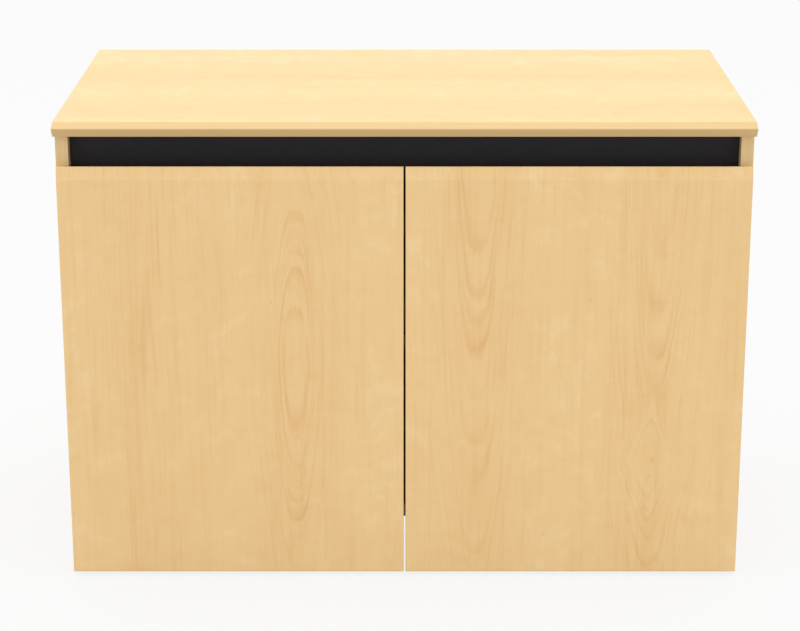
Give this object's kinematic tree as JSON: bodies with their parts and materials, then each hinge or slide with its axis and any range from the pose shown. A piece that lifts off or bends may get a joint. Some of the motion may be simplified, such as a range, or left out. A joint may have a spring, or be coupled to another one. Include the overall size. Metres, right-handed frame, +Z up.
{
  "type": "two-door credenza",
  "caption": "Low maple-look storage cabinet with a thin nosed top, a dark finger recess under it and full-height overlay doors on concealed hinges, with a shelf inside.",
  "frame": {"origin": "on the floor under the middle of the top", "axes": "+Z up, +X to the right seen from the front, front faces -Y"},
  "size_m": [1.05, 0.58, 0.73],
  "materials": {
    "maple_board": "satin maple-look laminate on particle board",
    "maple_edging": "satin maple-look plastic edging",
    "dark_board": "matt black laminate on board",
    "hinge_nickel": "nickel-plated pressed steel",
    "spring_steel": "bright drawn steel",
    "screw_steel": "zinc-plated steel",
    "zinc": "die-cast zinc",
    "beech_dowel": "fluted beech",
    "nylon": "moulded nylon",
    "soft_bumper": "soft clear bumper"
  },
  "bodies": {
    "carcass": {"back_panel": "maple_board", "back_screws": "screw_steel", "bottom_edging": "maple_edging", "bottom_panel": "maple_board", "cam_bolts": "screw_steel", "cam_housings": "zinc", "door_bumpers": "soft_bumper", "dowels": "beech_dowel", "glides": "nylon", "left_arm_screws": "screw_steel", "left_lower_hinge_arm": "hinge_nickel", "left_lower_hinge_plate": "hinge_nickel", "left_plate_screws": "screw_steel", "left_side_edging": "maple_edging", "left_side_panel": "maple_board", "left_upper_hinge_arm": "hinge_nickel", "left_upper_hinge_plate": "hinge_nickel", "recess_rail": "dark_board", "right_arm_screws": "screw_steel", "right_lower_hinge_arm": "hinge_nickel", "right_lower_hinge_plate": "hinge_nickel", "right_plate_screws": "screw_steel", "right_side_edging": "maple_edging", "right_side_panel": "maple_board", "right_upper_hinge_arm": "hinge_nickel", "right_upper_hinge_plate": "hinge_nickel", "shelf": "maple_board", "shelf_edging": "maple_edging", "shelf_pins": "zinc", "top_edging": "maple_edging", "top_panel": "maple_board"},
    "left_door": {"left_cup_screws": "screw_steel", "left_door": "maple_board", "left_lower_hinge_cup": "hinge_nickel", "left_lower_hinge_pin": "spring_steel", "left_lower_hinge_spring": "spring_steel", "left_upper_hinge_cup": "hinge_nickel", "left_upper_hinge_pin": "spring_steel", "left_upper_hinge_spring": "spring_steel"},
    "right_door": {"right_cup_screws": "screw_steel", "right_door": "maple_board", "right_lower_hinge_cup": "hinge_nickel", "right_lower_hinge_pin": "spring_steel", "right_lower_hinge_spring": "spring_steel", "right_upper_hinge_cup": "hinge_nickel", "right_upper_hinge_pin": "spring_steel", "right_upper_hinge_spring": "spring_steel"}
  },
  "joints": [
    {"name": "left_door_swing", "type": "hinge", "parent": "carcass", "child": "left_door", "pos_m": [-0.5135, -0.275, 0.3725], "axis": [0, 0, -1], "range_deg": [0, 95]},
    {"name": "right_door_swing", "type": "hinge", "parent": "carcass", "child": "right_door", "pos_m": [0.5135, -0.275, 0.3725], "axis": [0, 0, 1], "range_deg": [0, 95]}
  ]
}
